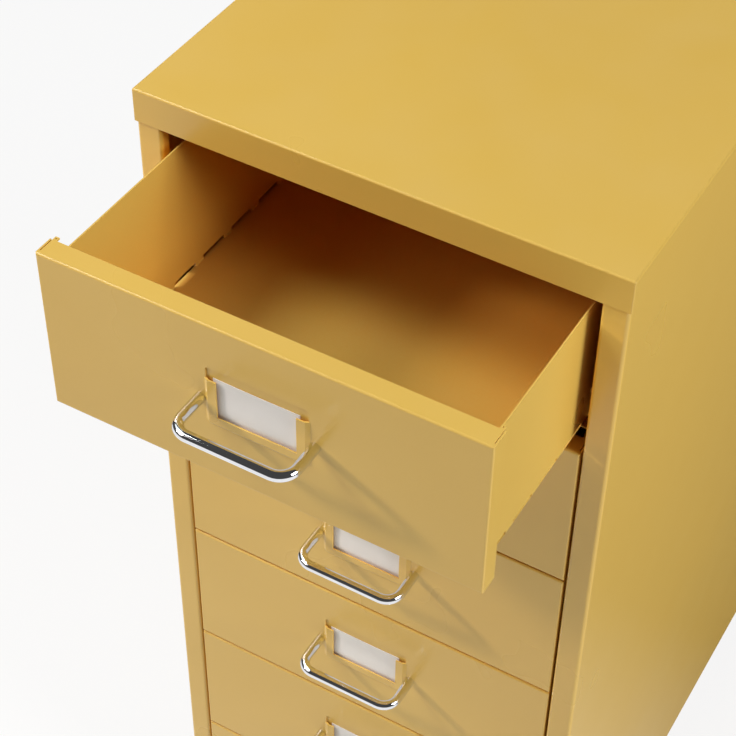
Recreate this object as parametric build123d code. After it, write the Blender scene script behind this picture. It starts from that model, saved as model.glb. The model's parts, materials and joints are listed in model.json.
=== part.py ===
from build123d import *
import os

# A narrow six-drawer metal cabinet on casters, top drawer pulled part of the way out.
# Millimetres. The front faces -Y and +Z is up. The origin is the middle of the top cover's
# upper face. The pieces are drawn with the base panel's underside on z = 0, and are lowered
# by the body's height as they are written.

# ---- Overall size ----
COVER_WIDTH = 280.0
COVER_DEPTH = 430.0
BODY_HEIGHT = 645.0
CASTER_HEIGHT = 45.0
DRAWER_COUNT = 6

# ---- Sheet metal; PAST is how far a cut runs beyond the face it opens ----
SHEET = 0.8
BEND = 1.6
SOFT_BEND = 2.2
EDGE_ROUND = 1.2
PAST = 1.0

# ---- Top cover ----
COVER_FLANGE = 20.0
COVER_CORNER_ROUND = 0.7

# ---- Body shell ----
BODY_WIDTH = COVER_WIDTH - 2 * SHEET
BODY_HALF = BODY_WIDTH / 2
BODY_FRONT = -COVER_DEPTH / 2 + SHEET
BODY_BACK = COVER_DEPTH / 2 - SHEET
BODY_TOP = BODY_HEIGHT - SHEET
PANEL_INNER = BODY_HALF - SHEET
STILE_WIDTH = 15.0
STILE_RETURN = 6.0
STILE_INNER = BODY_HALF - STILE_WIDTH
REAR_FLANGE = 15.0
PANEL_BACK = BODY_BACK - SHEET

# ---- Base panel ----
BASE_FLANGE = 12.0
BASE_LIP = 8.0
BASE_NOTCH_GAP = 1.4
BASE_NOTCH_DEPTH = STILE_RETURN + BASE_NOTCH_GAP
BASE_SIDE_SETBACK = 20.0
BASE_EDGE_ROUND = 0.6

# ---- Drawer grid ----
TOP_REVEAL = 24.0
FOOT_REVEAL = 9.4
DRAWER_GAP = 1.6
DRAWER_PITCH = (BODY_HEIGHT - TOP_REVEAL - FOOT_REVEAL + DRAWER_GAP) / DRAWER_COUNT
FRONT_HEIGHT = DRAWER_PITCH - DRAWER_GAP
OPEN_PULL = 105.0
TRAVEL = 300.0

# ---- Drawer front ----
SIDE_GAP = 1.2
FRONT_WIDTH = 2 * (STILE_INNER - SIDE_GAP)
FRONT_RETURN = 12.0
CORNER_SLIT = 0.6
SLIT_START = 2.6
CORNER_TAB_WIDTH = 2.4
CORNER_TAB_REACH = 2.6
CORNER_TAB_HOLE = 0.45

# ---- Drawer tray ----
TRAY_INSET = 5.5
TRAY_HALF = FRONT_WIDTH / 2 - TRAY_INSET
TRAY_BACK_GAP = 31.8
TRAY_LENGTH = PANEL_BACK - SHEET - TRAY_BACK_GAP - BODY_FRONT
TRAY_TOP_DROP = 6.7
TRAY_BOTTOM_RISE = 6.0
TRAY_HEIGHT = FRONT_HEIGHT - TRAY_TOP_DROP - TRAY_BOTTOM_RISE
TRAY_FRONT_FLANGE = 11.0
FOLD_SLOT_LENGTH = 20.0
FOLD_SLOT_PITCH = 27.7
FOLD_SLOT_START = 13.0
FOLD_SLOT_HEIGHT = 2.6
EAR_REACH = 4.0
EAR_RISE = 6.0
EAR_HEIGHT = 10.0

# ---- Runners ----
RUNNER_FRONT_GAP = 0.6
RUNNER_SETBACK = FRONT_RETURN + RUNNER_FRONT_GAP
RUNNER_BACK_GAP = 10.2
RUNNER_LENGTH = PANEL_BACK - SHEET - RUNNER_BACK_GAP - BODY_FRONT - RUNNER_SETBACK
RUNNER_HEIGHT = 30.0
RUNNER_LIP = 3.6
RUNNER_LIP_GAP = 2.1
RUNNER_LIP_INNER = TRAY_HALF + RUNNER_LIP_GAP
LEDGE_UNDERLAP = 10.5
LEDGE_INNER = TRAY_HALF - LEDGE_UNDERLAP
RUNNING_GAP = 0.3
STOP_GAP = 0.5
STOP_SIDE_GAP = 1.3
STOP_INNER = TRAY_HALF + STOP_SIDE_GAP
STOP_RISE = 4.0
STOP_HEIGHT = 16.0

# ---- Handle ----
WIRE_RADIUS = 3.0
HANDLE_HALF_SPAN = 32.0
HANDLE_REACH = 25.0
HANDLE_BEND = 9.0
HANDLE_DROP = 49.3
SCREW_RADIUS = 1.7
SCREW_DEPTH = 9.0
SCREW_HEAD_RADIUS = 3.5
SCREW_HEAD_HEIGHT = 2.2
DRIVE_SLOT_WIDTH = 0.9
DRIVE_SLOT_LENGTH = 4.0
DRIVE_SLOT_DEPTH = 1.1

# ---- Label holder, pressed into the drawer front ----
HOLDER_HALF = 29.2
HOLDER_RISE = 1.3
HOLDER_TOP = 34.5
HOLDER_BOTTOM = 64.9
HOLDER_CORNER = 3.4
HOLDER_SLOPE = 60.0
WINDOW_HALF = 22.2
WINDOW_BOTTOM = 58.0
MOUTH_HALF = HOLDER_HALF - SHEET
MOUTH_TOP = 27.4
BED_MARGIN = 1.6
TONGUE_HALF = 21.5
TONGUE_END = 57.0
CARD_THICKNESS = 0.5
CARD_WIDTH = 48.0
CARD_HEIGHT = 28.5
CARD_FOOT_GAP = 2.2
CARD_SHIFT = -0.6

# ---- Back-panel screws ----
BACK_SCREW_X = BODY_HALF - REAR_FLANGE / 2
BACK_SCREW_ROWS = 4
BACK_SCREW_LOW = 70.0
BACK_SCREW_SPACING = (BODY_HEIGHT - 2 * BACK_SCREW_LOW) / (BACK_SCREW_ROWS - 1)
BACK_SCREW_LENGTH = 7.0

# ---- Casters ----
CASTER_SIDE_INSET = 33.2
CASTER_END_INSET = 39.0
CASTER_X = BODY_HALF - CASTER_SIDE_INSET
CASTER_Y = COVER_DEPTH / 2 - CASTER_END_INSET
STEM_RADIUS = 4.0
STEM_COLLAR_RADIUS = 10.0
STEM_COLLAR_HEIGHT = 1.8
STEM_RISE = 9.0
STEM_FIT = 0.06
NUT_ACROSS_FLATS = 13.0
NUT_HEIGHT = 5.0
NUT_CORNER_RADIUS = 7.3
SMALL_CHAMFER = 0.8
WHEEL_RADIUS = 19.0
WHEEL_WIDTH = 9.5
WHEEL_GAP = 0.5
WHEEL_CROWN = 2.0
HUB_RECESS_RADIUS = 13.0
HUB_RECESS_DEPTH = 2.5
HUB_BOSS_RADIUS = 5.0
CASTER_TRAIL = 14.0
AXLE_RADIUS = 2.5
AXLE_FIT = 0.06
AXLE_COVER = 0.8
WEB_THICKNESS = 11.0
WEB_RADIUS = 13.0
HUB_RADIUS = 8.0
HUB_TOP_GAP = 0.4
HUB_LIFT = 2.0
STEM_COVER = 1.5
STEM_END_GAP = 0.5
HOOD_GAP = 1.2
HOOD_THICKNESS = 1.8
HOOD_END = 6.0

AXLE_Z = -CASTER_HEIGHT + WHEEL_RADIUS
HUB_TOP = -STEM_COLLAR_HEIGHT - HUB_TOP_GAP
HUB_BOTTOM = AXLE_Z + HUB_LIFT
STEM_BOTTOM = HUB_BOTTOM + STEM_COVER
WHEEL_INNER = WEB_THICKNESS / 2 + WHEEL_GAP
WHEEL_OUTER = WHEEL_INNER + WHEEL_WIDTH


def block(x_range, y_range, z_range):
    """A rectangular solid given by its limits along each direction."""
    size = [high - low for low, high in (x_range, y_range, z_range)]
    centre = [(low + high) / 2 for low, high in (x_range, y_range, z_range)]
    return Pos(*centre) * Box(*size)


def upright_cylinder(radius, low, high):
    """Upright cylinder between two heights."""
    return Pos(0, 0, (low + high) / 2) * Cylinder(radius, high - low)


def mirrored(solid):
    """The same solid on the other side of the middle plane."""
    return mirror(solid, about=Plane.YZ)


def folded_sheet(corners, bend, side):
    """One thickness of sheet beside a line through the corners, rounded at the bends."""
    line = FilletPolyline(*corners, radius=bend)
    return make_face(offset(line, amount=SHEET, side=side))


def front_top(number):
    """Height of the top edge of a drawer front; drawer 1 is the highest."""
    return BODY_HEIGHT - TOP_REVEAL - (number - 1) * DRAWER_PITCH


def tray_floor(number):
    """Height of the underside of a drawer's tray."""
    return front_top(number) - FRONT_HEIGHT + TRAY_BOTTOM_RISE


def drawer_place(number):
    """Where a drawer's front-face top edge sits; the top drawer is pulled out."""
    pull = OPEN_PULL if number == 1 else 0.0
    return Pos(0, BODY_FRONT - pull, front_top(number))


# ---------------------------------------------------------------- body shell

def top_cover():
    """Cap that drops over the body, with a flange down all four sides."""
    half_width = COVER_WIDTH / 2
    half_depth = COVER_DEPTH / 2
    low = BODY_HEIGHT - COVER_FLANGE
    cap = block((-half_width, half_width), (-half_depth, half_depth), (low, BODY_HEIGHT))
    cap = fillet(cap.edges().filter_by(Axis.Z), COVER_CORNER_ROUND)
    cap = fillet(cap.faces().sort_by(Axis.Z)[-1].edges(), EDGE_ROUND)
    hollow = block((-BODY_HALF, BODY_HALF), (BODY_FRONT, BODY_BACK), (low - PAST, BODY_TOP))
    return cap - hollow


def back_screw_spots():
    """Places of the screws that hold the back panel to the side panels."""
    spots = []
    for side in (-1, 1):
        for row in range(BACK_SCREW_ROWS):
            spots.append((side * BACK_SCREW_X, BACK_SCREW_LOW + row * BACK_SCREW_SPACING))
    return spots


def back_screw_holes():
    """Clearance through the back panel and the flanges behind it."""
    holes = []
    for x, z in back_screw_spots():
        holes.append(Pos(x, BODY_BACK, z) * Rot(90, 0, 0) * Cylinder(SCREW_RADIUS, 2 * BACK_SCREW_LENGTH))
    return holes


def right_side_panel():
    """Side sheet folded in at the front as a stile and at the back as a flange."""
    corners = [
        (STILE_INNER, BODY_FRONT + STILE_RETURN),
        (STILE_INNER, BODY_FRONT),
        (BODY_HALF, BODY_FRONT),
        (BODY_HALF, PANEL_BACK),
        (BODY_HALF - REAR_FLANGE, PANEL_BACK),
    ]
    panel = extrude(folded_sheet(corners, SOFT_BEND, Side.LEFT), amount=BODY_TOP)
    return panel - back_screw_holes()


def back_panel():
    """Flat sheet across the back, over the two rear flanges."""
    sheet = block((-BODY_HALF, BODY_HALF), (PANEL_BACK, BODY_BACK), (0, BODY_TOP))
    return sheet - back_screw_holes()


def caster_spots():
    """Centres of the four caster stems: front left, front right, back left, back right."""
    return [(x, y) for y in (-CASTER_Y, CASTER_Y) for x in (-CASTER_X, CASTER_X)]


def base_panel():
    """Floor pan with upturned edges; its front lip closes the space under the last drawer."""
    inner_back = PANEL_BACK - SHEET
    pan = block((-PANEL_INNER, PANEL_INNER), (BODY_FRONT, inner_back), (0, SHEET))
    for side in (-1, 1):
        notch_x = sorted((side * STILE_INNER, side * BODY_HALF))
        pan -= block(notch_x, (BODY_FRONT - PAST, BODY_FRONT + BASE_NOTCH_DEPTH), (-PAST, SHEET + PAST))
        flange_x = sorted((side * PANEL_INNER, side * (PANEL_INNER - SHEET)))
        pan += block(flange_x, (BODY_FRONT + BASE_SIDE_SETBACK, inner_back), (0, BASE_FLANGE))
    pan += block((-PANEL_INNER, PANEL_INNER), (inner_back - SHEET, inner_back), (0, BASE_FLANGE))
    pan = fillet(pan.edges().filter_by(Axis.Z).group_by(Axis.Y)[-1], SOFT_BEND)
    lip_x = (-STILE_INNER, STILE_INNER)
    pan += block(lip_x, (BODY_FRONT, BODY_FRONT + SHEET), (0, BASE_LIP))
    front_edges = pan.edges().filter_by(Axis.X).group_by(Axis.Y)[0]
    pan = fillet(front_edges.sort_by(Axis.Z)[0], BASE_EDGE_ROUND)
    for x, y in caster_spots():
        pan -= Pos(x, y, SHEET / 2) * Cylinder(STEM_RADIUS, 4 * SHEET)
    return pan


def back_screws():
    """Pan-head screws through the back panel."""
    screws = []
    for x, z in back_screw_spots():
        place = Pos(x, BODY_BACK, z) * Rot(-90, 0, 0)
        screws.append(place * pan_head_screw(BACK_SCREW_LENGTH))
    return screws


def pan_head_screw(length):
    """Cross-drive screw: head above the z = 0 seat, threaded shank below it."""
    head = Pos(0, 0, SCREW_HEAD_HEIGHT / 2) * Cylinder(SCREW_HEAD_RADIUS, SCREW_HEAD_HEIGHT)
    head = fillet(head.edges().sort_by(Axis.Z)[-1], SCREW_HEAD_HEIGHT / 2)
    drive_z = SCREW_HEAD_HEIGHT - DRIVE_SLOT_DEPTH / 2
    across = Pos(0, 0, drive_z) * Box(DRIVE_SLOT_LENGTH, DRIVE_SLOT_WIDTH, DRIVE_SLOT_DEPTH)
    along = Pos(0, 0, drive_z) * Box(DRIVE_SLOT_WIDTH, DRIVE_SLOT_LENGTH, DRIVE_SLOT_DEPTH)
    shank = Pos(0, 0, -length / 2) * Cylinder(SCREW_RADIUS, length)
    return head - across - along + shank


# ------------------------------------------------------------------- runners

def right_runner(number):
    """Channel on the side panel: hooked top flange above, ledge for the tray below."""
    ledge_under = tray_floor(number) - RUNNING_GAP - SHEET
    top = ledge_under + RUNNER_HEIGHT
    corners = [
        (RUNNER_LIP_INNER, top - RUNNER_LIP),
        (RUNNER_LIP_INNER, top),
        (PANEL_INNER, top),
        (PANEL_INNER, ledge_under),
        (LEDGE_INNER, ledge_under),
    ]
    section = folded_sheet(corners, BEND / 2 + SHEET, Side.RIGHT)
    front = BODY_FRONT + RUNNER_SETBACK
    channel = Pos(0, front, 0) * extrude(Plane.XZ * section, amount=-RUNNER_LENGTH)
    return channel + runner_stop(ledge_under)


def runner_stop(ledge_under):
    """Tab from the runner's web that catches the tray's ear at full travel."""
    ear_front = BODY_FRONT + TRAY_LENGTH - SHEET - TRAVEL
    back = ear_front - STOP_GAP
    low = ledge_under + SHEET + STOP_RISE
    return block((STOP_INNER, PANEL_INNER), (back - SHEET, back), (low, low + STOP_HEIGHT))


def right_runners():
    """The six runners on the right-hand side."""
    return [right_runner(number) for number in range(1, DRAWER_COUNT + 1)]


# -------------------------------------------------------------- drawer front
# Drawer pieces are drawn with the front face on y = 0 and its top edge on z = 0.

def front_pan():
    """Front face with returns folded back on all four sides and open corners."""
    half = FRONT_WIDTH / 2
    pan = block((-half, half), (0, FRONT_RETURN), (-FRONT_HEIGHT, 0))
    pan = fillet(pan.edges().filter_by(Axis.Y, reverse=True).sort_by(Axis.Y)[0:4], EDGE_ROUND)
    hollow_x = (SHEET - half, half - SHEET)
    pan -= block(hollow_x, (SHEET, FRONT_RETURN + PAST), (SHEET - FRONT_HEIGHT, -SHEET))
    for side in (-1, 1):
        slit_x = sorted((side * (half - SHEET), side * (half - SHEET - CORNER_SLIT)))
        for z in (-FRONT_HEIGHT, 0):
            pan -= block(slit_x, (SLIT_START, FRONT_RETURN + PAST), (z - 2 * SHEET, z + 2 * SHEET))
    return pan


def corner_tab():
    """Small pierced ear behind the top return, over the tray's side wall."""
    tab_end = FRONT_RETURN + CORNER_TAB_REACH
    inner = FRONT_WIDTH / 2 - SHEET - CORNER_SLIT
    tab = block((inner - CORNER_TAB_WIDTH, inner), (FRONT_RETURN, tab_end), (-SHEET, 0))
    hole_y = FRONT_RETURN + CORNER_TAB_REACH / 2
    return tab - Pos(inner - CORNER_TAB_WIDTH / 2, hole_y, 0) * Cylinder(CORNER_TAB_HOLE, 4 * SHEET)


def holder_shape(inset, back, front):
    """Raised label frame as a solid boss that narrows by its own rise."""
    width = 2 * (HOLDER_HALF - inset)
    height = 2 * (HOLDER_BOTTOM - HOLDER_TOP)
    outline = RectangleRounded(width, height, HOLDER_CORNER)
    rise = extrude(Plane.XZ * outline, amount=back - front, taper=HOLDER_SLOPE)
    return Pos(0, back, inset - HOLDER_TOP) * rise


def label_frame(pan):
    """Press the three-sided label frame out of the front, leaving its window and mouth."""
    wide = HOLDER_HALF + PAST
    proud = -HOLDER_RISE - PAST
    boss = holder_shape(0, 0, -HOLDER_RISE) - block((-wide, wide), (proud, 0), (-HOLDER_TOP, 0))
    hollow = holder_shape(SHEET, SHEET, SHEET - HOLDER_RISE)
    hollow -= block((-wide, wide), (proud, SHEET), (-MOUTH_TOP, 0))
    through = (proud, 2 * SHEET)
    window = block((-WINDOW_HALF, WINDOW_HALF), through, (-WINDOW_BOTTOM, -MOUTH_TOP))
    mouth = block((-MOUTH_HALF, MOUTH_HALF), through, (-HOLDER_TOP, -MOUTH_TOP))
    mouth = fillet(mouth.edges().filter_by(Axis.Y).sort_by(Axis.Z)[-2:], 2 * SHEET)
    return pan + boss - hollow - window - mouth


def label_bed():
    """Tongue behind the window that the card lies against."""
    back = 2 * SHEET
    strip_x = (-MOUTH_HALF - BED_MARGIN, MOUTH_HALF + BED_MARGIN)
    strip = block(strip_x, (SHEET, back), (-HOLDER_TOP - BED_MARGIN, BED_MARGIN - MOUTH_TOP))
    tongue = block((-TONGUE_HALF, TONGUE_HALF), (SHEET, back), (-TONGUE_END, -HOLDER_TOP))
    return strip + tongue


def drawer_front():
    """Complete front sheet: pan, label holder and holes for the handle screws."""
    tab = corner_tab()
    front = label_frame(front_pan()) + label_bed() + tab + mirrored(tab)
    for side in (-1, 1):
        place = Pos(side * HANDLE_HALF_SPAN, SHEET / 2, -HANDLE_DROP) * Rot(90, 0, 0)
        front -= place * Cylinder(SCREW_RADIUS, 4 * SHEET)
    return front


# --------------------------------------------------------------- drawer tray

def tray_hollow():
    """Space inside the tray, open at the front and the top."""
    low = SHEET - FRONT_HEIGHT + TRAY_BOTTOM_RISE
    inner_x = (SHEET - TRAY_HALF, TRAY_HALF - SHEET)
    hollow = block(inner_x, (SHEET - PAST, TRAY_LENGTH - SHEET), (low, PAST - TRAY_TOP_DROP))
    return fillet(hollow.edges().filter_by(Axis.Y).sort_by(Axis.Z)[0:2], BEND - SHEET)


def tray_shell():
    """Floor, two sides and back as one thickness of sheet, open towards the front."""
    low = -FRONT_HEIGHT + TRAY_BOTTOM_RISE
    shell = block((-TRAY_HALF, TRAY_HALF), (SHEET, TRAY_LENGTH), (low, -TRAY_TOP_DROP))
    return fillet(shell.edges().filter_by(Axis.Y).sort_by(Axis.Z)[0:2], BEND) - tray_hollow()


def tray_front_flange():
    """Border turned in at the front end, welded to the back of the drawer front."""
    low = -FRONT_HEIGHT + TRAY_BOTTOM_RISE
    high = -TRAY_TOP_DROP
    border = tray_hollow() & block((-TRAY_HALF, TRAY_HALF), (SHEET, 2 * SHEET), (low, high))
    open_half = TRAY_HALF - TRAY_FRONT_FLANGE
    open_z = (low + TRAY_FRONT_FLANGE, high + PAST)
    return border - block((-open_half, open_half), (0, 3 * SHEET), open_z)


def fold_slots():
    """Row of slots through the right-hand side, just above the floor."""
    low = -FRONT_HEIGHT + TRAY_BOTTOM_RISE
    slots = []
    start = FOLD_SLOT_START
    x_range = (TRAY_HALF - BEND, TRAY_HALF + PAST)
    z_range = (low + SHEET, low + SHEET + FOLD_SLOT_HEIGHT)
    while start + FOLD_SLOT_LENGTH < TRAY_LENGTH - SHEET:
        slots.append(block(x_range, (start, start + FOLD_SLOT_LENGTH), z_range))
        start += FOLD_SLOT_PITCH
    return slots


def tray_ear():
    """Ear on the back wall that meets the runner's stop."""
    low = -FRONT_HEIGHT + TRAY_BOTTOM_RISE + EAR_RISE
    ear_x = (TRAY_HALF - SHEET, TRAY_HALF + EAR_REACH)
    return block(ear_x, (TRAY_LENGTH - SHEET, TRAY_LENGTH), (low, low + EAR_HEIGHT))


def drawer_tray():
    """Floor, sides, back and front flange; the sheets meet where each side's bend ends."""
    low = -FRONT_HEIGHT + TRAY_BOTTOM_RISE
    flat_half = TRAY_HALF - BEND
    back_start = TRAY_LENGTH - SHEET
    along = (SHEET, back_start)
    upright = (low, -TRAY_TOP_DROP)
    shell = tray_shell()
    floor = shell & block((-flat_half, flat_half), along, (low, low + SHEET))
    side = (shell & block((flat_half, TRAY_HALF), along, upright)) - fold_slots()
    back = shell & block((-TRAY_HALF, TRAY_HALF), (back_start, TRAY_LENGTH), upright)
    back += [tray_ear(), mirrored(tray_ear())]
    return [floor, side, mirrored(side), back, tray_front_flange()]


# ------------------------------------------------------- handle, screws, card

def handle():
    """Bent wire pull whose ends stand on the drawer front."""
    corners = [
        (-HANDLE_HALF_SPAN, 0),
        (-HANDLE_HALF_SPAN, -HANDLE_REACH),
        (HANDLE_HALF_SPAN, -HANDLE_REACH),
        (HANDLE_HALF_SPAN, 0),
    ]
    path = FilletPolyline(*corners, radius=HANDLE_BEND)
    start = Plane(origin=path @ 0, z_dir=path % 0)
    wire = sweep(start * Circle(WIRE_RADIUS), path=path)
    bore_depth = SCREW_DEPTH - SHEET
    for side in (-1, 1):
        place = Pos(side * HANDLE_HALF_SPAN, -bore_depth / 2, 0) * Rot(90, 0, 0)
        wire -= place * Cylinder(SCREW_RADIUS, bore_depth)
    return Pos(0, 0, -HANDLE_DROP) * wire


def handle_screws():
    """The two screws that come through the front from inside."""
    screws = []
    for side in (-1, 1):
        place = Pos(side * HANDLE_HALF_SPAN, SHEET, -HANDLE_DROP) * Rot(-90, 0, 0)
        screws.append(place * pan_head_screw(SCREW_DEPTH))
    return screws


def label_card():
    """Blank card standing in the label holder, against its bed."""
    low = -(HOLDER_BOTTOM - SHEET - CARD_FOOT_GAP)
    x_range = (CARD_SHIFT - CARD_WIDTH / 2, CARD_SHIFT + CARD_WIDTH / 2)
    return block(x_range, (SHEET - CARD_THICKNESS, SHEET), (low, low + CARD_HEIGHT))


# ------------------------------------------------------------------- casters
# Caster pieces are drawn with the swivel axis on x = y = 0; the wheels trail towards +Y.

def axle_cylinder(radius, low, high):
    """Cylinder along X at the axle's place."""
    centre = Pos((low + high) / 2, CASTER_TRAIL, AXLE_Z)
    return centre * Rot(0, 90, 0) * Cylinder(radius, high - low)


def caster_stem():
    """Threaded stem with a collar under the base and a plain pin below it."""
    pin = upright_cylinder(STEM_RADIUS, STEM_BOTTOM, STEM_RISE)
    collar = upright_cylinder(STEM_COLLAR_RADIUS, -STEM_COLLAR_HEIGHT, 0)
    pin = chamfer(pin.edges().sort_by(Axis.Z)[-1], SMALL_CHAMFER)
    return pin + collar


def caster_nut():
    """Hexagon nut on the stem, above the base sheet."""
    flat = NUT_ACROSS_FLATS / 2
    outline = RegularPolygon(flat, 6, major_radius=False)
    nut = Pos(0, 0, SHEET) * extrude(outline, amount=NUT_HEIGHT)
    crown = upright_cylinder(NUT_CORNER_RADIUS, 0, SHEET + NUT_HEIGHT)
    crown = chamfer(crown.edges().sort_by(Axis.Z)[-1], SMALL_CHAMFER)
    return (nut & crown) - upright_cylinder(STEM_RADIUS, 0, SHEET + NUT_HEIGHT + PAST)


def caster_hood():
    """Curved guard over the upper part of both wheels."""
    inner = WHEEL_RADIUS + HOOD_GAP
    shell = axle_cylinder(inner + HOOD_THICKNESS, -WHEEL_OUTER, WHEEL_OUTER)
    shell -= axle_cylinder(inner, -WHEEL_OUTER - PAST, WHEEL_OUTER + PAST)
    reach = 2 * WHEEL_RADIUS + CASTER_TRAIL
    shell -= block((-reach, reach), (-reach, reach), (-reach - CASTER_HEIGHT, AXLE_Z + HOOD_END))
    return shell - block((-reach, reach), (-reach, reach), (HUB_TOP, CASTER_HEIGHT))


def wheel_clearance():
    """Space the right-hand wheel turns in."""
    return axle_cylinder(WHEEL_RADIUS + HOOD_GAP, WEB_THICKNESS / 2, WHEEL_OUTER + PAST)


def caster_housing():
    """Swivelling body: hub round the pin, web between the wheels and the hood."""
    half = WEB_THICKNESS / 2
    inner = WHEEL_RADIUS + HOOD_GAP
    web = axle_cylinder(WEB_RADIUS, -half, half)
    rib = axle_cylinder(inner + HOOD_THICKNESS / 2, -half, half)
    far = CASTER_TRAIL + 2 * WHEEL_RADIUS
    rib &= block((-half, half), (-far, far), (AXLE_Z + HOOD_END, HUB_TOP))
    hub = upright_cylinder(HUB_RADIUS, HUB_BOTTOM, HUB_TOP)
    guard = caster_hood() - upright_cylinder(HUB_RADIUS, HUB_BOTTOM, HUB_TOP)
    body = web + rib + hub + guard
    body -= wheel_clearance() + mirrored(wheel_clearance())
    body -= upright_cylinder(STEM_RADIUS + STEM_FIT, STEM_BOTTOM - STEM_END_GAP, HUB_TOP + PAST)
    return body - axle_cylinder(AXLE_RADIUS + AXLE_FIT, -half - PAST, half + PAST)


def right_wheel():
    """Wheel disc with rounded tread, dished outer face and a centre boss."""
    wheel = axle_cylinder(WHEEL_RADIUS, WHEEL_INNER, WHEEL_OUTER)
    rims = wheel.edges().filter_by(GeomType.CIRCLE)
    wheel = fillet(rims, WHEEL_CROWN)
    dish = axle_cylinder(HUB_RECESS_RADIUS, WHEEL_OUTER - HUB_RECESS_DEPTH, WHEEL_OUTER + PAST)
    dish -= axle_cylinder(HUB_BOSS_RADIUS, WHEEL_INNER, WHEEL_OUTER + 2 * PAST)
    return wheel - dish - axle_cylinder(AXLE_RADIUS, WHEEL_INNER - PAST, WHEEL_OUTER - AXLE_COVER)


def caster_axle():
    """Pin that carries both wheels."""
    return axle_cylinder(AXLE_RADIUS, AXLE_COVER - WHEEL_OUTER, WHEEL_OUTER - AXLE_COVER)


# -------------------------------------------------------------------- output

def save(name, solids):
    """Lower one piece, or a group of like solids, to the origin and write it under its name."""
    if isinstance(solids, list):
        solids = Compound(children=solids)
    solids = Pos(0, 0, -BODY_HEIGHT) * solids
    solids.label = name
    export_step(solids, "parts/" + name + ".step")


def save_body():
    """The standing shell and everything fixed to it."""
    panel = right_side_panel()
    runners = right_runners()
    save("top_cover", top_cover())
    save("right_side_panel", panel)
    save("left_side_panel", mirrored(panel))
    save("back_panel", back_panel())
    save("base_panel", base_panel())
    save("right_runners", runners)
    save("left_runners", [mirrored(runner) for runner in runners])
    save("back_screws", back_screws())


def save_drawers():
    """The six drawers, each as its own five pieces."""
    front = drawer_front()
    tray = drawer_tray()
    pull = handle()
    screws = handle_screws()
    card = label_card()
    for number in range(1, DRAWER_COUNT + 1):
        place = drawer_place(number)
        stem = "drawer_" + str(number)
        save(stem + "_front", place * front)
        save(stem + "_tray", [place * sheet for sheet in tray])
        save(stem + "_handle", place * pull)
        save(stem + "_handle_screws", [place * screw for screw in screws])
        save(stem + "_label_card", place * card)


def save_casters():
    """Stems and nuts as groups, then each caster's own pieces."""
    spots = caster_spots()
    save("caster_stems", [Pos(x, y, 0) * caster_stem() for x, y in spots])
    save("caster_nuts", [Pos(x, y, 0) * caster_nut() for x, y in spots])
    housing = caster_housing()
    axle = caster_axle()
    wheel = right_wheel()
    for number, (x, y) in enumerate(spots, start=1):
        stem = "caster_" + str(number)
        save(stem + "_housing", Pos(x, y, 0) * housing)
        save(stem + "_axle", Pos(x, y, 0) * axle)
        save(stem + "_wheels", [Pos(x, y, 0) * wheel, Pos(x, y, 0) * mirrored(wheel)])


os.makedirs("parts", exist_ok=True)
save_body()
save_drawers()
save_casters()
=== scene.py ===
import bpy
import json
import math
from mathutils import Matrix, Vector


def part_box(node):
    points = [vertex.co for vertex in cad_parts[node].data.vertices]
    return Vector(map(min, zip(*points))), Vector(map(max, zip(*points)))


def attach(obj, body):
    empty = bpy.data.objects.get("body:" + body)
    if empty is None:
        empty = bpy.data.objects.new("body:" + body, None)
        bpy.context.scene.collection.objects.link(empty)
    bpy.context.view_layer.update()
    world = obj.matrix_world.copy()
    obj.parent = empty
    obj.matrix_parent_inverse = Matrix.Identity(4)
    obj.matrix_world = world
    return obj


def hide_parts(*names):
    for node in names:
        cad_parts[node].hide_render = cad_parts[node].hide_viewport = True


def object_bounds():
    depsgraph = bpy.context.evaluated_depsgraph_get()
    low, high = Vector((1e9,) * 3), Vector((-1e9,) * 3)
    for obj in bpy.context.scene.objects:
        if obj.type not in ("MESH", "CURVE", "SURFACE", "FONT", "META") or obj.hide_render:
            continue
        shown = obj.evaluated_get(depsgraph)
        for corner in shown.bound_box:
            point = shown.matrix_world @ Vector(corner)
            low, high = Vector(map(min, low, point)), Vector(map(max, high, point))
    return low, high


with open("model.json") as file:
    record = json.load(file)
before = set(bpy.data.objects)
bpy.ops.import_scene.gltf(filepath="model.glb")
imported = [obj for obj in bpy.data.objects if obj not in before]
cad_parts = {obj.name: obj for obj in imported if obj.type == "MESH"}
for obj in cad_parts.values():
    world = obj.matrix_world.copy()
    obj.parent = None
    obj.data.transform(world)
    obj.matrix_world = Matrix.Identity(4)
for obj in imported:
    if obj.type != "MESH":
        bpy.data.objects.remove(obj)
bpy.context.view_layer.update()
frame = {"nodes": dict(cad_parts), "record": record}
nodes = frame["nodes"]
drawerNumbers = range(1, 7)
casterNumbers = range(1, 5)
mm = 0.001
coverTop = Vector((0, 0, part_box("top_cover")[1][2]))
print("cabinet: frame loaded,", len(nodes), "nodes")


# ---- small helpers

def deselectAll():
    if bpy.context.mode != "OBJECT":
        bpy.ops.object.mode_set(mode="OBJECT")
    bpy.ops.object.select_all(action="DESELECT")


def pick(piece):
    deselectAll()
    piece.select_set(True)
    bpy.context.view_layer.objects.active = piece


def openEdit(piece, kind="FACE"):
    pick(piece)
    bpy.ops.object.mode_set(mode="EDIT")
    bpy.ops.mesh.select_mode(type=kind)


def selectEdges(piece, test):
    # edges that pass the test are left selected, back in edit mode
    bpy.ops.mesh.select_all(action="DESELECT")
    bpy.ops.object.mode_set(mode="OBJECT")
    spots = piece.data.vertices
    for edge in piece.data.edges:
        edge.select = test(spots[edge.vertices[0]].co, spots[edge.vertices[1]].co)
    bpy.ops.object.mode_set(mode="EDIT")


def applyModifiers(piece):
    pick(piece)
    for modifier in list(piece.modifiers):
        bpy.ops.object.modifier_apply(modifier=modifier.name)


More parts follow.
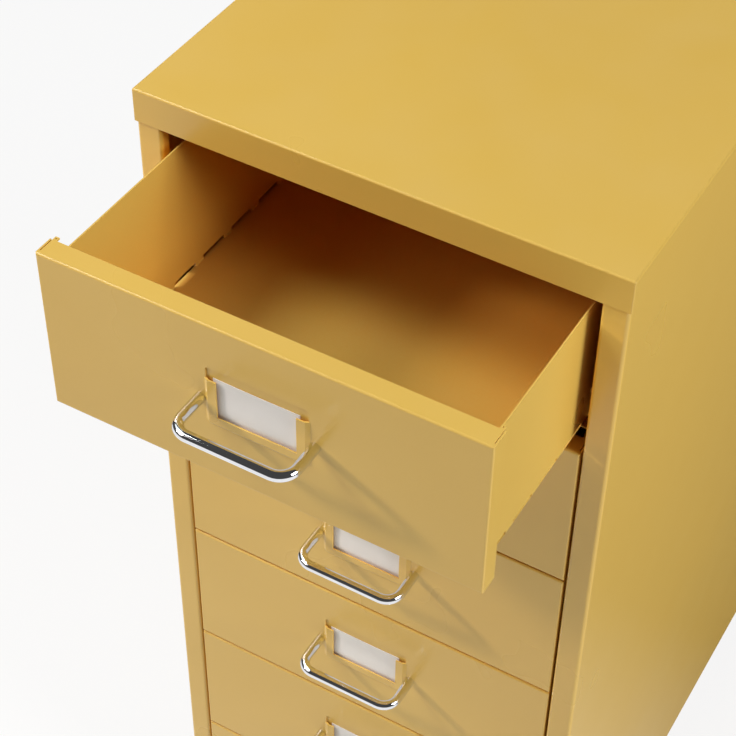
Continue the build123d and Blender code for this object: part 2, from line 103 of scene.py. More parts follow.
def settle(piece):
    # the object goes to the origin and its place goes into its mesh
    pick(piece)
    bpy.ops.object.transform_apply(location=True, rotation=True, scale=True)


def copyPiece(piece, name, shift):
    pick(piece)
    bpy.ops.object.duplicate(linked=False)
    twin = bpy.context.object
    twin.name = name
    twin.location = shift
    settle(twin)
    return twin


def boxMiddle(nodeName):
    low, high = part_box(nodeName)
    return (Vector(low) + Vector(high)) / 2


def bodyOf(nodeName):
    for body, members in frame["record"]["behaviour"]["bodies"].items():
        if nodeName in members:
            return body


def dress(piece, nodeName, material):
    piece.data.materials.clear()
    piece.data.materials.append(material)
    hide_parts(nodeName)
    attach(piece, bodyOf(nodeName))


# ---- camera, at the photograph's place and angle

cameraView = {
    "place": (0.3541, -0.8312, 0.5766),
    "tilt": 46.09,
    "roll": -2.99,
    "turn": 28.07,
    "lens": 92.87,
    "shift": (-0.1542, -0.0313),
    "sensor": 36,
    "sight": 50,
}


def addCamera():
    angles = [math.radians(cameraView[key]) for key in ("tilt", "roll", "turn")]
    bpy.ops.object.camera_add(location=coverTop + Vector(cameraView["place"]), rotation=angles)
    camera = bpy.context.object
    camera.name = "photoCamera"
    camera.data.lens = cameraView["lens"]
    camera.data.sensor_width = cameraView["sensor"]
    camera.data.shift_x, camera.data.shift_y = cameraView["shift"]
    camera.data.clip_end = cameraView["sight"]
    bpy.context.scene.camera = camera


deselectAll()
addCamera()
print("camera placed")


# ---- shared effects, each a node group

def newGroup(name, inputs, outputs):
    group = bpy.data.node_groups.new(name, "ShaderNodeTree")
    for label, kind, value in inputs:
        socket = group.interface.new_socket(label, in_out="INPUT", socket_type=kind)
        socket.default_value = value
    for label, kind in outputs:
        group.interface.new_socket(label, in_out="OUTPUT", socket_type=kind)
    start = group.nodes.new("NodeGroupInput")
    end = group.nodes.new("NodeGroupOutput")
    return group, start, end


def addNode(tree, kind, **values):
    # sockets are set by name, node properties by their own names
    node = tree.nodes.new(kind)
    for key, value in values.items():
        if key in node.inputs.keys():
            node.inputs[key].default_value = value
        else:
            setattr(node, key, value)
    return node


def mixColours(tree, mask, first, second):
    mix = tree.nodes.new("ShaderNodeMix")
    mix.data_type = "RGBA"
    colourInputs = [socket for socket in mix.inputs if socket.type == "RGBA"]
    factor = [socket for socket in mix.inputs if socket.type == "VALUE"][0]
    for source, socket in ((mask, factor), (first, colourInputs[0]), (second, colourInputs[1])):
        if isinstance(source, bpy.types.NodeSocket):
            tree.links.new(source, socket)
        else:
            socket.default_value = source
    return [socket for socket in mix.outputs if socket.type == "RGBA"][0]


def mathNode(tree, operation, first, second):
    node = tree.nodes.new("ShaderNodeMath")
    node.operation = operation
    for source, socket in ((first, node.inputs[0]), (second, node.inputs[1])):
        if isinstance(source, bpy.types.NodeSocket):
            tree.links.new(source, socket)
        else:
            socket.default_value = source
    return node.outputs[0]


def noiseOn(tree, coordinates, scale, detail):
    noise = addNode(tree, "ShaderNodeTexNoise", Detail=detail)
    if isinstance(scale, bpy.types.NodeSocket):
        tree.links.new(scale, noise.inputs["Scale"])
    else:
        noise.inputs["Scale"].default_value = scale
    tree.links.new(coordinates, noise.inputs["Vector"])
    return noise.outputs["Fac"]


middleBand = (0.3, 0.7)


def spread(tree, value, low, high):
    # carries the middle band of a 0 to 1 pattern to a low to high range
    ramp = addNode(tree, "ShaderNodeMapRange")
    ramp.inputs["From Min"].default_value = middleBand[0]
    ramp.inputs["From Max"].default_value = middleBand[1]
    for source, label in ((value, "Value"), (low, "To Min"), (high, "To Max")):
        if isinstance(source, bpy.types.NodeSocket):
            tree.links.new(source, ramp.inputs[label])
        else:
            ramp.inputs[label].default_value = source
    return ramp.outputs["Result"]


wearPattern = {"samples": 4, "sharpen": 3.0, "noiseDetail": 4, "least": 0.2, "most": 1.0}


def makeEdgeWear():
    # mask that is bright on outer edges and corners and broken up by a noise
    inputs = [
        ("Radius", "NodeSocketFloat", 0.0006),
        ("Amount", "NodeSocketFloat", 1.0),
        ("Break Scale", "NodeSocketFloat", 120.0),
    ]
    group, start, end = newGroup("edgeWear", inputs, [("Mask", "NodeSocketFloat")])
    bevel = group.nodes.new("ShaderNodeBevel")
    bevel.samples = wearPattern["samples"]
    geometry = group.nodes.new("ShaderNodeNewGeometry")
    where = group.nodes.new("ShaderNodeTexCoord")
    dot = addNode(group, "ShaderNodeVectorMath", operation="DOT_PRODUCT")
    group.links.new(start.outputs["Radius"], bevel.inputs["Radius"])
    group.links.new(bevel.outputs["Normal"], dot.inputs[0])
    group.links.new(geometry.outputs["Normal"], dot.inputs[1])
    bend = mathNode(group, "SUBTRACT", 1.0, dot.outputs["Value"])
    sharp = mathNode(group, "MULTIPLY", bend, wearPattern["sharpen"])
    noise = noiseOn(group, where.outputs["Object"], start.outputs["Break Scale"], wearPattern["noiseDetail"])
    broken = spread(group, noise, wearPattern["least"], wearPattern["most"])
    mask = mathNode(group, "MULTIPLY", sharp, broken)
    strength = mathNode(group, "MULTIPLY", mask, start.outputs["Amount"])
    limit = mathNode(group, "MINIMUM", strength, 1.0)
    group.links.new(limit, end.inputs["Mask"])
    return group


grainPattern = {"peelDetail": 2, "driftDetail": 3, "speckDetail": 1, "speckFiner": 2.5, "driftShare": 0.75}


def makeGrain():
    # fine orange peel of a sprayed or moulded surface, with slow drifts of tone and gloss
    inputs = [
        ("Light Colour", "NodeSocketColor", (1, 1, 1, 1)),
        ("Deep Colour", "NodeSocketColor", (1, 1, 1, 1)),
        ("Peel Scale", "NodeSocketFloat", 900.0),
        ("Drift Scale", "NodeSocketFloat", 7.0),
        ("Smooth", "NodeSocketFloat", 0.35),
        ("Rough", "NodeSocketFloat", 0.45),
    ]
    outputs = [("Colour", "NodeSocketColor"), ("Roughness", "NodeSocketFloat"), ("Height", "NodeSocketFloat")]
    group, start, end = newGroup("paintGrain", inputs, outputs)
    where = group.nodes.new("ShaderNodeTexCoord")
    place = where.outputs["Object"]
    peel = noiseOn(group, place, start.outputs["Peel Scale"], grainPattern["peelDetail"])
    drift = noiseOn(group, place, start.outputs["Drift Scale"], grainPattern["driftDetail"])
    speckScale = mathNode(group, "MULTIPLY", start.outputs["Peel Scale"], grainPattern["speckFiner"])
    speck = noiseOn(group, place, speckScale, grainPattern["speckDetail"])
    slow = mathNode(group, "MULTIPLY", drift, grainPattern["driftShare"])
    fine = mathNode(group, "MULTIPLY", speck, 1 - grainPattern["driftShare"])
    mask = spread(group, mathNode(group, "ADD", slow, fine), 0.0, 1.0)
    colour = mixColours(group, mask, start.outputs["Light Colour"], start.outputs["Deep Colour"])
    rough = spread(group, drift, start.outputs["Smooth"], start.outputs["Rough"])
    group.links.new(colour, end.inputs["Colour"])
    group.links.new(rough, end.inputs["Roughness"])
    group.links.new(peel, end.inputs["Height"])
    return group


dustPattern = {"noiseDetail": 5, "least": 0.1, "most": 1.0}


def makeSettledDust():
    # thin dust that shows on surfaces that face upwards
    inputs = [("Amount", "NodeSocketFloat", 0.1), ("Cloud Scale", "NodeSocketFloat", 18.0)]
    group, start, end = newGroup("settledDust", inputs, [("Mask", "NodeSocketFloat")])
    where = group.nodes.new("ShaderNodeTexCoord")
    split = group.nodes.new("ShaderNodeSeparateXYZ")
    group.links.new(where.outputs["Normal"], split.inputs[0])
    upward = mathNode(group, "MAXIMUM", split.outputs["Z"], 0.0)
    noise = noiseOn(group, where.outputs["Object"], start.outputs["Cloud Scale"], dustPattern["noiseDetail"])
    cloud = spread(group, noise, dustPattern["least"], dustPattern["most"])
    settled = mathNode(group, "MULTIPLY", upward, cloud)
    mask = mathNode(group, "MULTIPLY", settled, start.outputs["Amount"])
    group.links.new(mask, end.inputs["Mask"])
    return group


# painted shade: settings of the occlusion mask that deepens the paint in hollows
hollowShadePattern = {"samples": 8, "deepBelow": 0.06, "openOver": 0.38}


def makeHollowDepth():
    # painted shade: a mask from ambient occlusion that grows where a surface lies deep in a hollow, as inside
    # a drawer, so the paint turns deeper orange where shade falls
    inputs = [("Reach", "NodeSocketFloat", 0.3)]
    group, start, end = newGroup("paintedHollowShade", inputs, [("Mask", "NodeSocketFloat")])
    openness = group.nodes.new("ShaderNodeAmbientOcclusion")
    openness.samples = hollowShadePattern["samples"]
    group.links.new(start.outputs["Reach"], openness.inputs["Distance"])
    ramp = addNode(group, "ShaderNodeMapRange")
    ramp.inputs["From Min"].default_value = hollowShadePattern["deepBelow"]
    ramp.inputs["From Max"].default_value = hollowShadePattern["openOver"]
    ramp.inputs["To Min"].default_value = 1.0
    ramp.inputs["To Max"].default_value = 0.0
    group.links.new(openness.outputs["AO"], ramp.inputs["Value"])
    group.links.new(ramp.outputs["Result"], end.inputs["Mask"])
    return group


edgeWear = makeEdgeWear()
paintGrain = makeGrain()
settledDust = makeSettledDust()
paintedHollowShade = makeHollowDepth()
print("shared effects made")


# ---- materials

def startMaterial(name):
    material = bpy.data.materials.new(name)
    material.use_nodes = True
    tree = material.node_tree
    shader = tree.nodes["Principled BSDF"]
    return material, tree, shader


def useGroup(tree, group, values):
    node = tree.nodes.new("ShaderNodeGroup")
    node.node_tree = group
    for label, value in values.items():
        node.inputs[label].default_value = value
    return node


def addRelief(tree, shader, height, distance, strength):
    bump = addNode(tree, "ShaderNodeBump", Distance=distance, Strength=strength)
    tree.links.new(height, bump.inputs["Height"])
    tree.links.new(bump.outputs["Normal"], shader.inputs["Normal"])


def rgb(red, green, blue):
    # a colour as an eye reads it off a screen, 0 to 255, turned to light values
    levels = []
    for level in (red, green, blue):
        share = level / 255
        levels.append(share / 12.92 if share <= 0.04045 else ((share + 0.055) / 1.055) ** 2.4)
    return (*levels, 1.0)


paint = {
    "light": rgb(229, 189, 91),
    "deep": rgb(225, 184, 85),
    "worn": rgb(240, 206, 120),
    # painted shade: deeper orange laid on surfaces deep in hollows, such as inside the drawers
    "paintedShadeInHollows": rgb(224, 154, 52),
    "smooth": 0.27,
    "rough": 0.34,
    "shine": 0.5,
    "peelScale": 700.0,
    "peelDepth": 0.00004,
    "peelStrength": 0.25,
    "wear": 0.35,
    "dust": 0.04,
    "dustColour": rgb(235, 228, 210),
}


def makeYellowPaint():
    material, tree, shader = startMaterial("yellowPowderCoat")
    grain = useGroup(tree, paintGrain, {
        "Light Colour": paint["light"],
        "Deep Colour": paint["deep"],
        "Peel Scale": paint["peelScale"],
        "Smooth": paint["smooth"],
        "Rough": paint["rough"],
    })
    wear = useGroup(tree, edgeWear, {"Amount": paint["wear"]})
    dust = useGroup(tree, settledDust, {"Amount": paint["dust"]})
    painted = mixColours(tree, wear.outputs["Mask"], grain.outputs["Colour"], paint["worn"])
    dusty = mixColours(tree, dust.outputs["Mask"], painted, paint["dustColour"])
    # painted shade: the paint is deepened towards orange where the hollow mask is high
    hollowShadeNode = useGroup(tree, paintedHollowShade, {})
    colour = mixColours(tree, hollowShadeNode.outputs["Mask"], dusty, paint["paintedShadeInHollows"])
    tree.links.new(colour, shader.inputs["Base Color"])
    tree.links.new(grain.outputs["Roughness"], shader.inputs["Roughness"])
    shader.inputs["Specular IOR Level"].default_value = paint["shine"]
    addRelief(tree, shader, grain.outputs["Height"], paint["peelDepth"], paint["peelStrength"])
    return material


chrome = {
    "light": rgb(238, 238, 240),
    "deep": rgb(226, 227, 230),
    "smooth": 0.03,
    "rough": 0.07,
    "peelScale": 300.0,
    "driftScale": 60.0,
    "peelDepth": 0.00001,
    "peelStrength": 0.04,
}


def makeChrome():
    material, tree, shader = startMaterial("brightChrome")
    grain = useGroup(tree, paintGrain, {
        "Light Colour": chrome["light"],
        "Deep Colour": chrome["deep"],
        "Peel Scale": chrome["peelScale"],
        "Drift Scale": chrome["driftScale"],
        "Smooth": chrome["smooth"],
        "Rough": chrome["rough"],
    })
    tree.links.new(grain.outputs["Colour"], shader.inputs["Base Color"])
    tree.links.new(grain.outputs["Roughness"], shader.inputs["Roughness"])
    shader.inputs["Metallic"].default_value = 1.0
    addRelief(tree, shader, grain.outputs["Height"], chrome["peelDepth"], chrome["peelStrength"])
    return material


zinc = {
    "light": rgb(196, 198, 200),
    "deep": rgb(170, 172, 172),
    "worn": rgb(222, 222, 220),
    "smooth": 0.28,
    "rough": 0.42,
    "peelScale": 1500.0,
    "driftScale": 150.0,
    "peelDepth": 0.00003,
    "peelStrength": 0.2,
    "wear": 0.8,
    "wearReach": 0.0003,
}


def makeZinc():
    material, tree, shader = startMaterial("zincSteel")
    grain = useGroup(tree, paintGrain, {
        "Light Colour": zinc["light"],
        "Deep Colour": zinc["deep"],
        "Peel Scale": zinc["peelScale"],
        "Drift Scale": zinc["driftScale"],
        "Smooth": zinc["smooth"],
        "Rough": zinc["rough"],
    })
    wear = useGroup(tree, edgeWear, {"Amount": zinc["wear"], "Radius": zinc["wearReach"]})
    colour = mixColours(tree, wear.outputs["Mask"], grain.outputs["Colour"], zinc["worn"])
    tree.links.new(colour, shader.inputs["Base Color"])
    tree.links.new(grain.outputs["Roughness"], shader.inputs["Roughness"])
    shader.inputs["Metallic"].default_value = 1.0
    addRelief(tree, shader, grain.outputs["Height"], zinc["peelDepth"], zinc["peelStrength"])
    return material


card = {
    "light": rgb(247, 244, 238),
    "deep": rgb(240, 237, 230),
    "worn": rgb(196, 190, 178),
    "smooth": 0.62,
    "rough": 0.8,
    "peelScale": 2600.0,
    "driftScale": 40.0,
    "peelDepth": 0.00003,
    "peelStrength": 0.3,
    "wear": 0.6,
    "wearReach": 0.0003,
    "wearBreaks": 300.0,
}


def makeCard():
    material, tree, shader = startMaterial("whiteCard")
    fibre = useGroup(tree, paintGrain, {
        "Light Colour": card["light"],
        "Deep Colour": card["deep"],
        "Peel Scale": card["peelScale"],
        "Drift Scale": card["driftScale"],
        "Smooth": card["smooth"],
        "Rough": card["rough"],
    })
    wear = useGroup(tree, edgeWear, {
        "Amount": card["wear"],
        "Radius": card["wearReach"],
        "Break Scale": card["wearBreaks"],
    })
    colour = mixColours(tree, wear.outputs["Mask"], fibre.outputs["Colour"], card["worn"])
    tree.links.new(colour, shader.inputs["Base Color"])
    tree.links.new(fibre.outputs["Roughness"], shader.inputs["Roughness"])
    addRelief(tree, shader, fibre.outputs["Height"], card["peelDepth"], card["peelStrength"])
    return material


plastic = {
    "light": rgb(44, 44, 46),
    "deep": rgb(34, 34, 36),
    "worn": rgb(84, 84, 86),
    "dustColour": rgb(150, 146, 138),
    "dustClouds": 60.0,
    "driftScale": 45.0,
    "peelDepth": 0.00006,
    "peelStrength": 0.35,
    "wear": 0.6,
    "wearReach": 0.0006,
}
housingFinish = {"smooth": 0.38, "rough": 0.5, "dust": 0.1, "peelScale": 1400.0}
wheelFinish = {"smooth": 0.5, "rough": 0.66, "dust": 0.16, "peelScale": 900.0}


def makePlastic(name, finish):
    material, tree, shader = startMaterial(name)
    grain = useGroup(tree, paintGrain, {
        "Light Colour": plastic["light"],
        "Deep Colour": plastic["deep"],
        "Peel Scale": finish["peelScale"],
        "Drift Scale": plastic["driftScale"],
        "Smooth": finish["smooth"],
        "Rough": finish["rough"],
    })
    wear = useGroup(tree, edgeWear, {"Amount": plastic["wear"], "Radius": plastic["wearReach"]})
    dust = useGroup(tree, settledDust, {"Amount": finish["dust"], "Cloud Scale": plastic["dustClouds"]})
    worn = mixColours(tree, wear.outputs["Mask"], grain.outputs["Colour"], plastic["worn"])
    colour = mixColours(tree, dust.outputs["Mask"], worn, plastic["dustColour"])
    tree.links.new(colour, shader.inputs["Base Color"])
    tree.links.new(grain.outputs["Roughness"], shader.inputs["Roughness"])
    addRelief(tree, shader, grain.outputs["Height"], plastic["peelDepth"], plastic["peelStrength"])
    return material


yellowPaint = makeYellowPaint()
brightChrome = makeChrome()
zincSteel = makeZinc()
whiteCard = makeCard()
blackPlastic = makePlastic("blackHousingPlastic", housingFinish)
wheelPlastic = makePlastic("blackWheelPlastic", wheelFinish)
print("materials made")


# ---- sheet metal, plastic and screws: the frame's own forms with their edges eased

softening = {
    "sheetEdge": 0.22 * mm,
    "pressedEdge": 0.55 * mm,
    "screwEdge": 0.15 * mm,
    "plasticEdge": 0.4 * mm,
    "mergeWithin": 0.002 * mm,
    "flatWithin": 0.6,
    "sharpOver": 24,
    "segments": 3,
    "normalWeight": 100,
}


def shellOf(nodeName, sheetsTouch=False):
    # one clean skin: the loose triangles joined and flat areas made one face
    # where sheets touch, their union drops the walls between them
    pick(nodes[nodeName])
    bpy.ops.object.duplicate(linked=False)
    piece = bpy.context.object
    piece.name = nodeName + ".eased"
    openEdit(piece, "VERT")
    bpy.ops.mesh.select_all(action="SELECT")
    bpy.ops.mesh.remove_doubles(threshold=softening["mergeWithin"])
    if sheetsTouch:
        bpy.ops.mesh.intersect_boolean(operation="UNION", use_self=True, solver="EXACT")
        bpy.ops.mesh.select_all(action="SELECT")
        bpy.ops.mesh.remove_doubles(threshold=softening["mergeWithin"])
    bpy.ops.mesh.dissolve_limited(angle_limit=math.radians(softening["flatWithin"]))
    bpy.ops.object.mode_set(mode="OBJECT")
    return piece


def finishShading(piece):
    bpy.ops.object.shade_smooth_by_angle(angle=math.radians(softening["sharpOver"]))
    evened = piece.modifiers.new("evenShading", "WEIGHTED_NORMAL")
    evened.mode = "FACE_AREA"
    evened.weight = softening["normalWeight"]
    evened.keep_sharp = True
    applyModifiers(piece)


def easedCopy(nodeName, width, sheetsTouch=False):
    piece = shellOf(nodeName, sheetsTouch)
    bevel = piece.modifiers.new("ease", "BEVEL")
    bevel.width = width
    bevel.segments = softening["segments"]
    bevel.limit_method = "ANGLE"
    bevel.angle_limit = math.radians(softening["sharpOver"])
    applyModifiers(piece)
    finishShading(piece)
    return piece


labelHolder = {
    "rise": 1.3 * mm,
    "faceWithin": 0.1 * mm,
    "sideInner": 25 * mm,
    "sideOuter": 30 * mm,
    "topDown": 36 * mm,
    "footDown": 60.5 * mm,
    "bottomDown": 66 * mm,
    "cutEdgeShare": 0.4,
}


def onHolderOutline(first, second, low, high):
    # true for an edge of a front that runs along the pressed outline of its label holder
    middle = (first + second) / 2
    across = abs(middle.x)
    down = high[2] - middle.z
    if max(first.y, second.y) >= low[1] + labelHolder["rise"] + labelHolder["faceWithin"]:
        return False
    if across >= labelHolder["sideOuter"] or down >= labelHolder["bottomDown"]:
        return False
    side = across > labelHolder["sideInner"] and down > labelHolder["topDown"]
    return side or down > labelHolder["footDown"]


def easedFront(nodeName):
    # the pressed outline of the label holder is rounder than the cut edges
    piece = shellOf(nodeName)
    low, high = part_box(nodeName)
    openEdit(piece, "EDGE")
    bpy.ops.mesh.select_all(action="DESELECT")
    bpy.ops.mesh.edges_select_sharp(sharpness=math.radians(softening["sharpOver"]))
    bpy.ops.object.mode_set(mode="OBJECT")
    spots = piece.data.vertices
    marks = piece.data.attributes.new("bevel_weight_edge", "FLOAT", "EDGE")
    for edge in piece.data.edges:
        first, second = [spots[end].co for end in edge.vertices]
        if edge.select:
            pressed = onHolderOutline(first, second, low, high)
            marks.data[edge.index].value = 1.0 if pressed else labelHolder["cutEdgeShare"]
    bevel = piece.modifiers.new("ease", "BEVEL")
    bevel.width = softening["pressedEdge"]
    bevel.segments = softening["segments"]
    bevel.limit_method = "WEIGHT"
    applyModifiers(piece)
    finishShading(piece)
    return piece


def easeAll(names, width, material):
    for nodeName in names:
        dress(easedCopy(nodeName, width), nodeName, material)


bodySheets = ["top_cover", "left_side_panel", "right_side_panel", "back_panel", "base_panel"]
runners = ["left_runners", "right_runners"]
easeAll(bodySheets, softening["sheetEdge"], yellowPaint)
easeAll(runners, softening["sheetEdge"], yellowPaint)
print("body sheets eased")


def easeDrawer(number):
    stem = "drawer_" + str(number)
    dress(easedFront(stem + "_front"), stem + "_front", yellowPaint)
    easeAll([stem + "_handle_screws"], softening["screwEdge"], zincSteel)


def addTrays():
    # the folded tray is made once, as one skin, and copied down the drawers
    start = boxMiddle("drawer_1_tray")
    first = easedCopy("drawer_1_tray", softening["sheetEdge"], True)
    for number in drawerNumbers:
        nodeName = "drawer_" + str(number) + "_tray"
        tray = first if number == 1 else copyPiece(first, nodeName + ".eased", boxMiddle(nodeName) - start)
        dress(tray, nodeName, yellowPaint)


for number in drawerNumbers:
    easeDrawer(number)
addTrays()
print("drawers eased")

easeAll(["back_screws", "caster_stems", "caster_nuts"], softening["screwEdge"], zincSteel)
for number in casterNumbers:
    stem = "caster_" + str(number)
    easeAll([stem + "_housing"], softening["plasticEdge"], blackPlastic)
    easeAll([stem + "_axle"], softening["screwEdge"], zincSteel)
    easeAll([stem + "_wheels"], softening["plasticEdge"], wheelPlastic)
print("casters and screws eased")


# ---- wire handles: a circle led round the two bends, then copied down the drawers

handle = {
    "wireRadius": 3.0 * mm,
    "halfSpan": 32.0 * mm,
    "reach": 25.0 * mm,
    "bend": 9.0 * mm,
    "roundPoints": 32,
    "bendSteps": 14,
    "footWithin": 0.01 * mm,
    "sharpOver": 40,
}


def extrudeBy(distance):
    bpy.ops.mesh.extrude_region_move(TRANSFORM_OT_translate={"value": distance})


def makeHandle(name, middle, footY):
    # the wire starts at the left foot, on the drawer front, and ends at the right one
    span = handle["halfSpan"]
    bendX = span - handle["bend"]
    legEnd = footY - (handle["reach"] - handle["bend"])
    bpy.ops.mesh.primitive_circle_add(
        vertices=handle["roundPoints"],
        radius=handle["wireRadius"],
        location=(middle.x - span, footY, middle.z),
        rotation=(math.radians(90), 0, 0),
    )
    wire = bpy.context.object
    wire.name = name
    settle(wire)
    openEdit(wire, "EDGE")
    bpy.ops.mesh.select_all(action="SELECT")
    extrudeBy((0, legEnd - footY, 0))
    bpy.ops.mesh.spin(
        steps=handle["bendSteps"],
        angle=math.radians(-90),
        center=(middle.x - bendX, legEnd, middle.z),
        axis=(0, 0, 1),
    )
    extrudeBy((2 * bendX, 0, 0))
    bpy.ops.mesh.spin(
        steps=handle["bendSteps"],
        angle=math.radians(-90),
        center=(middle.x + bendX, legEnd, middle.z),
        axis=(0, 0, 1),
    )
    extrudeBy((0, footY - legEnd, 0))
    selectEdges(wire, lambda a, b: max(abs(a.y - footY), abs(b.y - footY)) < handle["footWithin"])
    bpy.ops.mesh.edge_face_add()
    bpy.ops.mesh.select_all(action="SELECT")
    bpy.ops.mesh.normals_make_consistent(inside=False)
    bpy.ops.object.mode_set(mode="OBJECT")
    bpy.ops.object.shade_smooth_by_angle(angle=math.radians(handle["sharpOver"]))
    return wire


def addHandles():
    start = boxMiddle("drawer_1_handle")
    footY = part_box("drawer_1_handle")[1][1]
    first = makeHandle("wireHandle1", start, footY)
    dress(first, "drawer_1_handle", brightChrome)
    for number in list(drawerNumbers)[1:]:
        nodeName = "drawer_" + str(number) + "_handle"
        twin = copyPiece(first, "wireHandle" + str(number), boxMiddle(nodeName) - start)
        dress(twin, nodeName, brightChrome)


deselectAll()
addHandles()
print("handles bent")


# ---- cards: thin sheets with a slight bow, standing in the label holders

cardSheet = {
    "thickness": 0.28 * mm,
    "bow": 0.2 * mm,
    "bowAtFoot": 0.4,
    "cutsAcross": 24,
    "sharpOver": 40,
}


def makeCardSheet(name, nodeName):
    low, high = [Vector(corner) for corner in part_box(nodeName)]
    middle = (low + high) / 2
    back = high.y
    bpy.ops.mesh.primitive_plane_add(
        size=1,
        location=(middle.x, back - cardSheet["thickness"], middle.z),
        rotation=(math.radians(90), 0, 0),
    )
    sheet = bpy.context.object
    sheet.name = name
    sheet.scale = (high.x - low.x, high.z - low.z, 1)
    settle(sheet)
    openEdit(sheet)
    bpy.ops.mesh.select_all(action="SELECT")
    bpy.ops.mesh.subdivide(number_cuts=cardSheet["cutsAcross"])
    bpy.ops.object.mode_set(mode="OBJECT")
    for vertex in sheet.data.vertices:
        share = (vertex.co.x - low.x) / (high.x - low.x)
        rise = (vertex.co.z - low.z) / (high.z - low.z)
        height = cardSheet["bowAtFoot"] + (1 - cardSheet["bowAtFoot"]) * rise
        vertex.co.y -= cardSheet["bow"] * math.sin(math.pi * share) * height
    solid = sheet.modifiers.new("thickness", "SOLIDIFY")
    solid.thickness = cardSheet["thickness"]
    solid.offset = -1
    applyModifiers(sheet)
    bpy.ops.object.shade_smooth_by_angle(angle=math.radians(cardSheet["sharpOver"]))
    return sheet


def addCards():
    first = makeCardSheet("labelCard1", "drawer_1_label_card")
    start = boxMiddle("drawer_1_label_card")
    dress(first, "drawer_1_label_card", whiteCard)
    for number in list(drawerNumbers)[1:]:
        nodeName = "drawer_" + str(number) + "_label_card"
        twin = copyPiece(first, "labelCard" + str(number), boxMiddle(nodeName) - start)
        dress(twin, nodeName, whiteCard)


deselectAll()
addCards()
print("cards in place")


# ---- floor, studio light and world

studio = {
    "floorSize": 8.0,
    "floorWhite": rgb(242, 242, 242),
    "floorPale": rgb(239, 239, 238),
    "floorDrift": 1.5,
    "floorDetail": 2,
    "floorRough": 0.9,
    "seenWhite": 0.85,
    # painted shadow: the floor's glow seen in mirrors fades from white in front to dim behind the object
    "shineFrom": -0.25,
    "shineTo": 0.15,
    "shadowedFarGlow": 0.05,
    "aim": (0, -0.1, -0.2),
    "worldLight": 0.06,
    "worldMirrored": 0.06,
}
softBoxes = {
    "rightSoftBox": {"place": (2.15, -0.35, 0.95), "size": 0.9, "power": 43.0, "tint": (1, 1, 1)},
    "highSoftBox": {"place": (-1.6, -0.45, 1.5), "size": 1.2, "power": 6.0, "tint": (0.92, 1, 1)},
    "frontSoftBox": {"place": (-1.35, -0.75, 1.6), "size": 0.7, "power": 22.0, "tint": (0.92, 1, 1)},
    "leftSoftBox": {"place": (-1.35, -1.45, 1.0), "size": 0.8, "power": 6.0, "tint": (1, 0.92, 0.92)},
    "leftLamp": {"place": (-1.64, -1.0, 0.85), "size": 0.2, "power": 18.0, "tint": (1, 0.87, 0.84)},
}


def aimAt(place, target):
    direction = Vector(target) - Vector(place)
    return direction.to_track_quat("-Z", "Y").to_euler()


def addSoftBox(name, box):
    turn = aimAt(box["place"], studio["aim"])
    bpy.ops.object.light_add(type="AREA", location=coverTop + Vector(box["place"]), rotation=turn)
    lamp = bpy.context.object
    lamp.name = name
    lamp.data.shape = "SQUARE"
    lamp.data.size = box["size"]
    lamp.data.energy = box["power"]
    lamp.data.color = box["tint"]


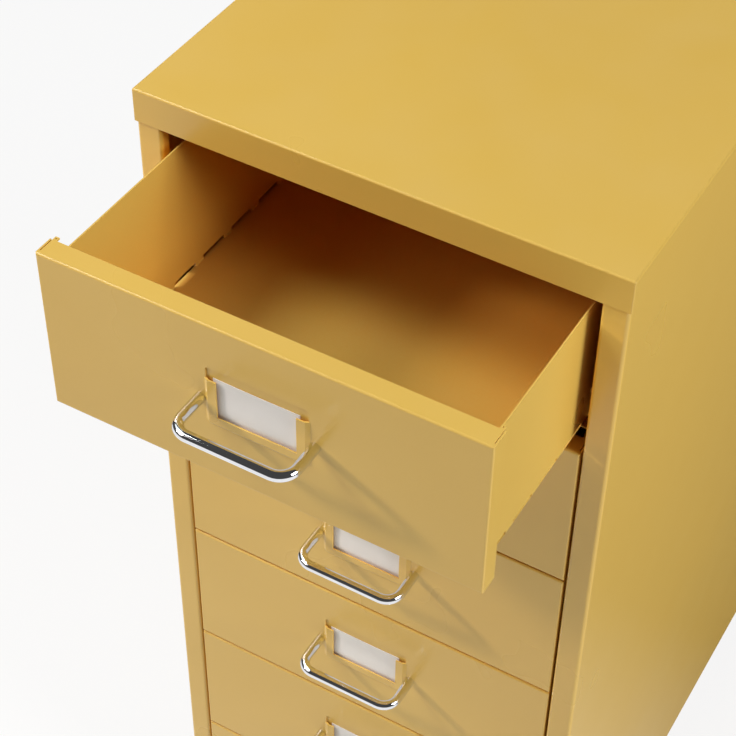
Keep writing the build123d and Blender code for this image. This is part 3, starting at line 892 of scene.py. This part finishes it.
def makeFloorMaterial():
    material, tree, shader = startMaterial("paleFloor")
    where = tree.nodes.new("ShaderNodeTexCoord")
    drift = noiseOn(tree, where.outputs["Object"], studio["floorDrift"], studio["floorDetail"])
    tone = mixColours(tree, spread(tree, drift, 0.0, 1.0), studio["floorWhite"], studio["floorPale"])
    tree.links.new(tone, shader.inputs["Base Color"])
    shader.inputs["Roughness"].default_value = studio["floorRough"]
    # the camera sees it nearly white; mirrors see it glowing white in front and dim behind the object, a
    # painted shadow of the object on the floor seen in reflections
    split = tree.nodes.new("ShaderNodeSeparateXYZ")
    tree.links.new(where.outputs["Object"], split.inputs[0])
    paintedShadowFade = addNode(tree, "ShaderNodeMapRange")
    paintedShadowFade.inputs["From Min"].default_value = studio["shineFrom"]
    paintedShadowFade.inputs["From Max"].default_value = studio["shineTo"]
    paintedShadowFade.inputs["To Min"].default_value = 1.0
    paintedShadowFade.inputs["To Max"].default_value = studio["shadowedFarGlow"]
    tree.links.new(split.outputs["Y"], paintedShadowFade.inputs["Value"])
    paths = tree.nodes.new("ShaderNodeLightPath")
    camera = paths.outputs["Is Camera Ray"]
    mirrored = mathNode(tree, "MAXIMUM", paths.outputs["Is Glossy Ray"], paths.outputs["Is Transmission Ray"])
    share = mathNode(tree, "MAXIMUM", mathNode(tree, "MULTIPLY", camera, studio["seenWhite"]), mirrored)
    glow = addNode(tree, "ShaderNodeEmission", Color=(1, 1, 1, 1))
    tree.links.new(mathNode(tree, "MAXIMUM", camera, paintedShadowFade.outputs["Result"]), glow.inputs["Strength"])
    blend = tree.nodes.new("ShaderNodeMixShader")
    tree.links.new(share, blend.inputs[0])
    tree.links.new(shader.outputs[0], blend.inputs[1])
    tree.links.new(glow.outputs[0], blend.inputs[2])
    tree.links.new(blend.outputs[0], tree.nodes["Material Output"].inputs["Surface"])
    return material


def addFloor():
    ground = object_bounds()[0][2]
    bpy.ops.mesh.primitive_plane_add(size=studio["floorSize"], location=(0, 0, ground))
    floor = bpy.context.object
    floor.name = "paleFloor"
    settle(floor)
    floor.data.materials.append(makeFloorMaterial())


def lightWorld():
    # even white light on the object and white behind it; mirrors show a dark room above the floor
    world = bpy.data.worlds.new("studioWorld")
    bpy.context.scene.world = world
    world.use_nodes = True
    tree = world.node_tree
    even = tree.nodes["Background"]
    even.inputs["Color"].default_value = (1, 1, 1, 1)
    even.inputs["Strength"].default_value = studio["worldLight"]
    dark = addNode(tree, "ShaderNodeBackground", Color=(1, 1, 1, 1), Strength=studio["worldMirrored"])
    white = addNode(tree, "ShaderNodeBackground", Color=(1, 1, 1, 1), Strength=1.0)
    paths = tree.nodes.new("ShaderNodeLightPath")
    under = even
    for ray, over in (("Is Glossy Ray", dark), ("Is Camera Ray", white)):
        blend = tree.nodes.new("ShaderNodeMixShader")
        tree.links.new(paths.outputs[ray], blend.inputs[0])
        tree.links.new(under.outputs[0], blend.inputs[1])
        tree.links.new(over.outputs[0], blend.inputs[2])
        under = blend
    tree.links.new(under.outputs[0], tree.nodes["World Output"].inputs["Surface"])


deselectAll()
addFloor()
for name, box in softBoxes.items():
    addSoftBox(name, box)
lightWorld()
bpy.context.scene.view_settings.view_transform = "Standard"
print("floor and light set")
